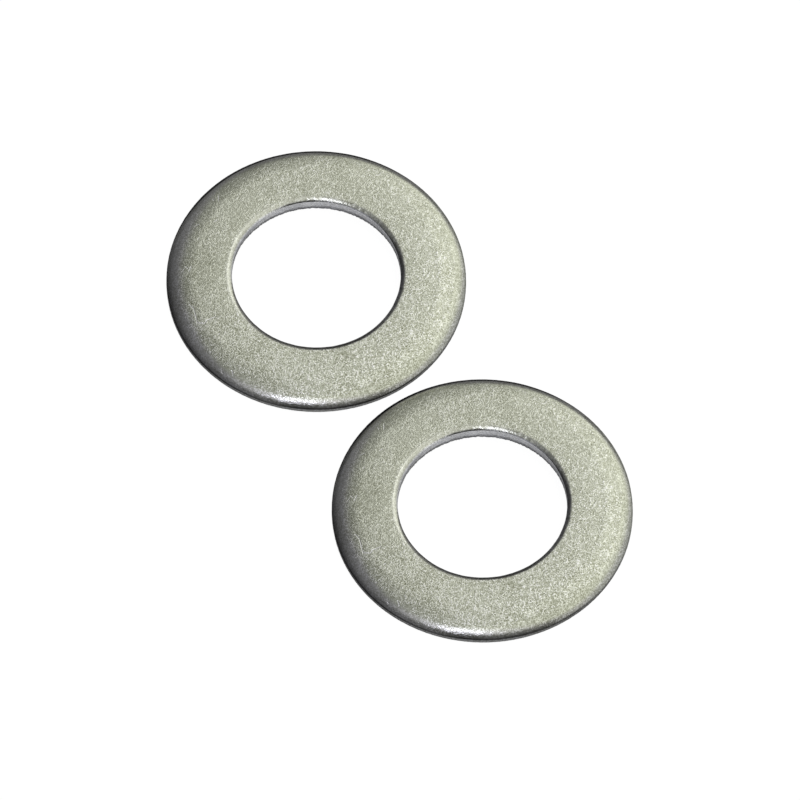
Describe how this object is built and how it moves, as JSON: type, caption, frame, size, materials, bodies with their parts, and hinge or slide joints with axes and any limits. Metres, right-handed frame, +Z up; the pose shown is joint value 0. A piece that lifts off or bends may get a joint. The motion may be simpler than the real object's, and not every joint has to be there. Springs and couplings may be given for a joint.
{
  "type": "pair of flat washers",
  "caption": "Round flat washers punched from steel sheet, each with a plain centre bore, a rolled outer edge and flat faces that spread the load of a bolt or nut.",
  "frame": {"origin": "midway between the two bore axes, on the surface that both washers lie on", "axes": "+Z up, along both bore axes and out of the rolled top sides; +Y from the front washer's side towards the rear washer's; +X to the right, seen with +Y pointing away"},
  "size_m": [0.0398, 0.0476, 0.0016],
  "materials": {
    "zinc_plated_steel": "zinc plate over tumbled punched steel: a fine matte grain on the faces, smoother on the rolled edge and in the bore"
  },
  "bodies": {
    "root": {"rear_washer": "zinc_plated_steel", "front_washer": "zinc_plated_steel"}
  },
  "joints": []
}
